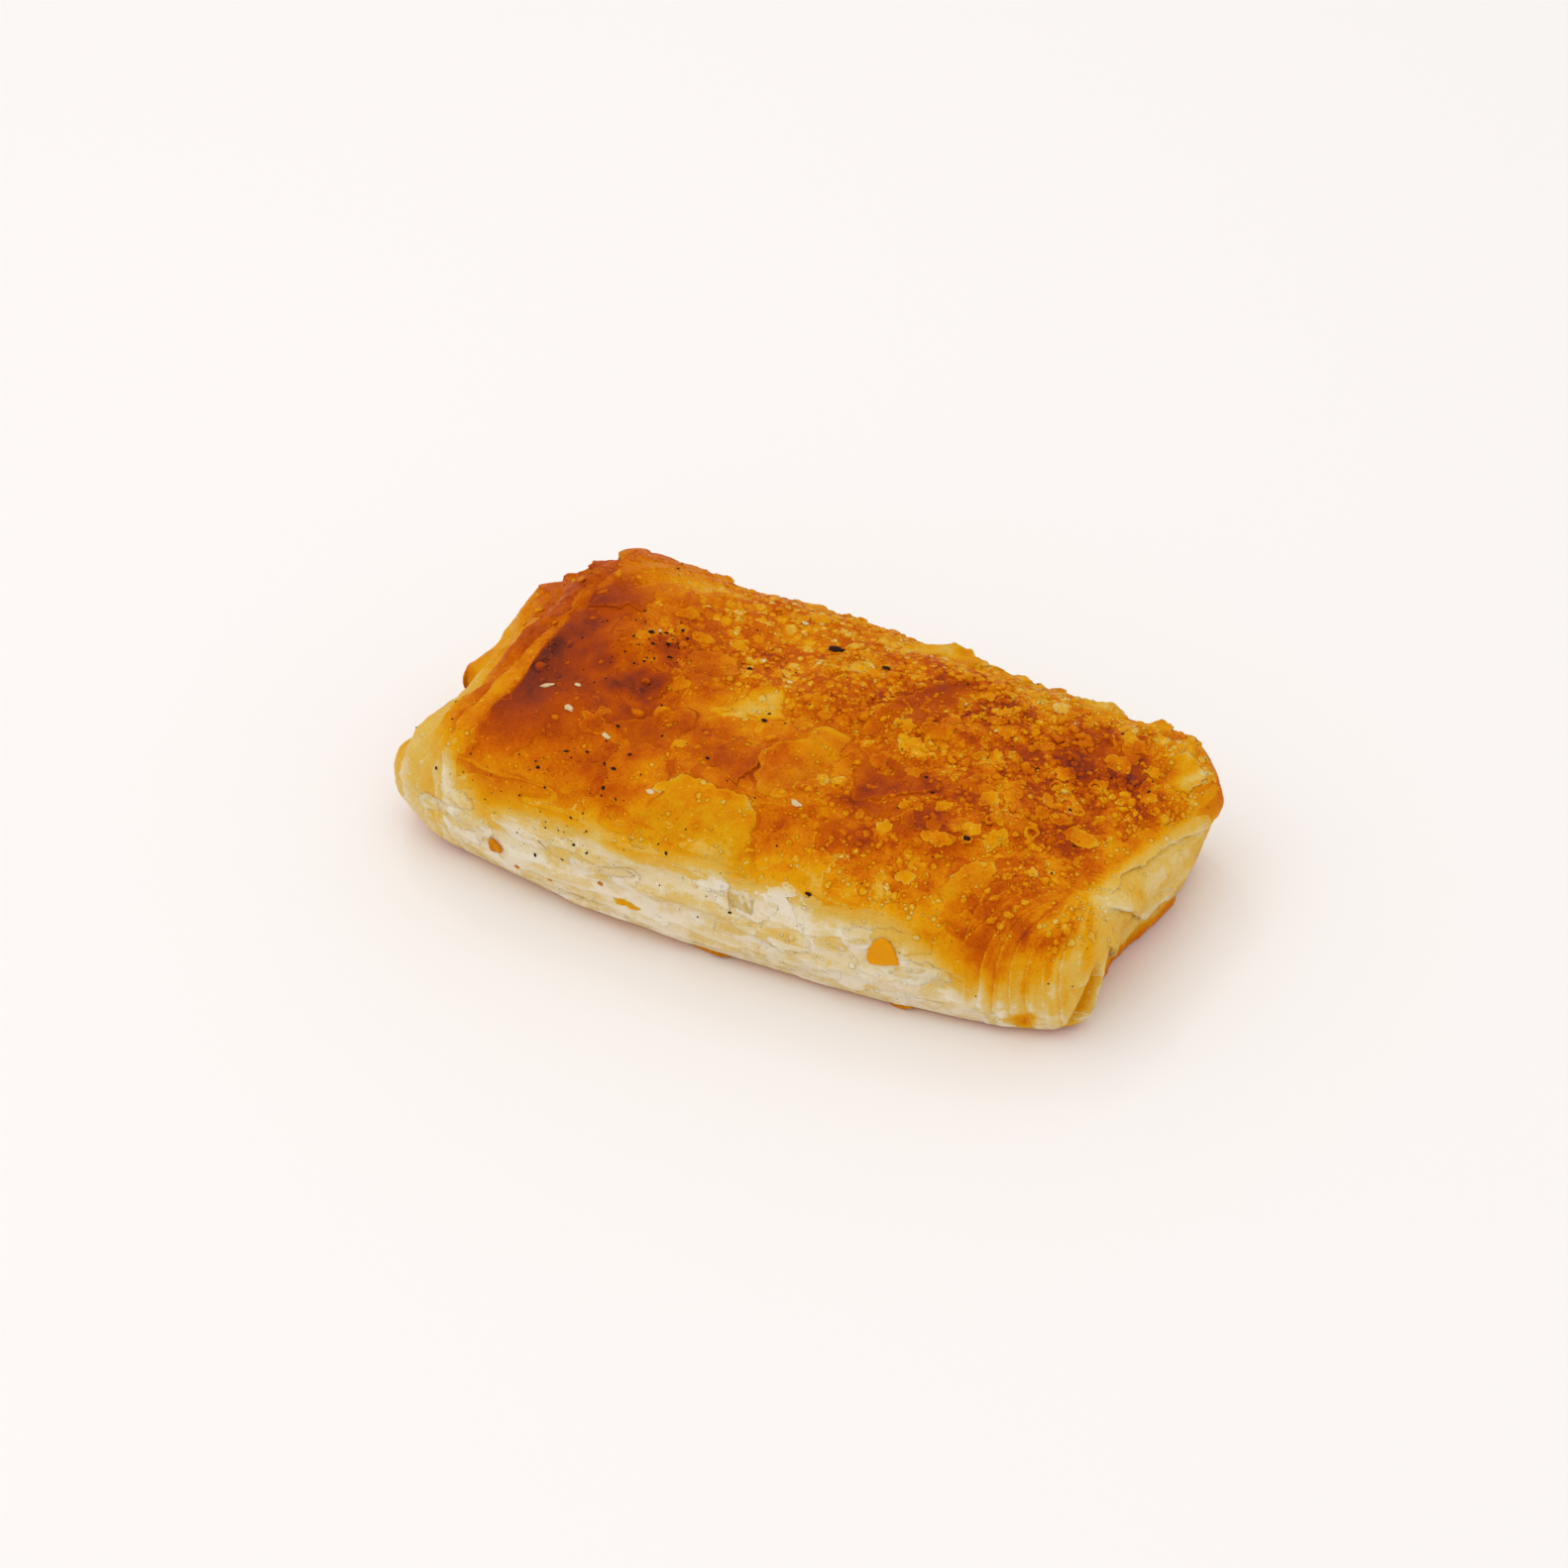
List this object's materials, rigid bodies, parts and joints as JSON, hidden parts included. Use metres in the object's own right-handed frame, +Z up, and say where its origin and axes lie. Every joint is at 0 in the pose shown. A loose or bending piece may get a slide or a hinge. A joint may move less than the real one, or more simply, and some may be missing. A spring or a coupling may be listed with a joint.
{
  "type": "potato borek",
  "caption": "Baked oblong parcel of thin flaky dough folded round a filling, browned and blistered on top, pale and layered along its sides, resting on a flat base.",
  "frame": {"origin": "middle of the bounding box in plan, on the plane that the parcel rests on", "axes": "+X along the parcel from the high folded end to the low rolled end, -Y towards its pale front side, +Z up"},
  "size_m": [0.1694, 0.09, 0.0423],
  "materials": {
    "baked_dough": "satin browned crust over pale flaky sides"
  },
  "bodies": {
    "root": {"pastry": "baked_dough"}
  },
  "joints": []
}
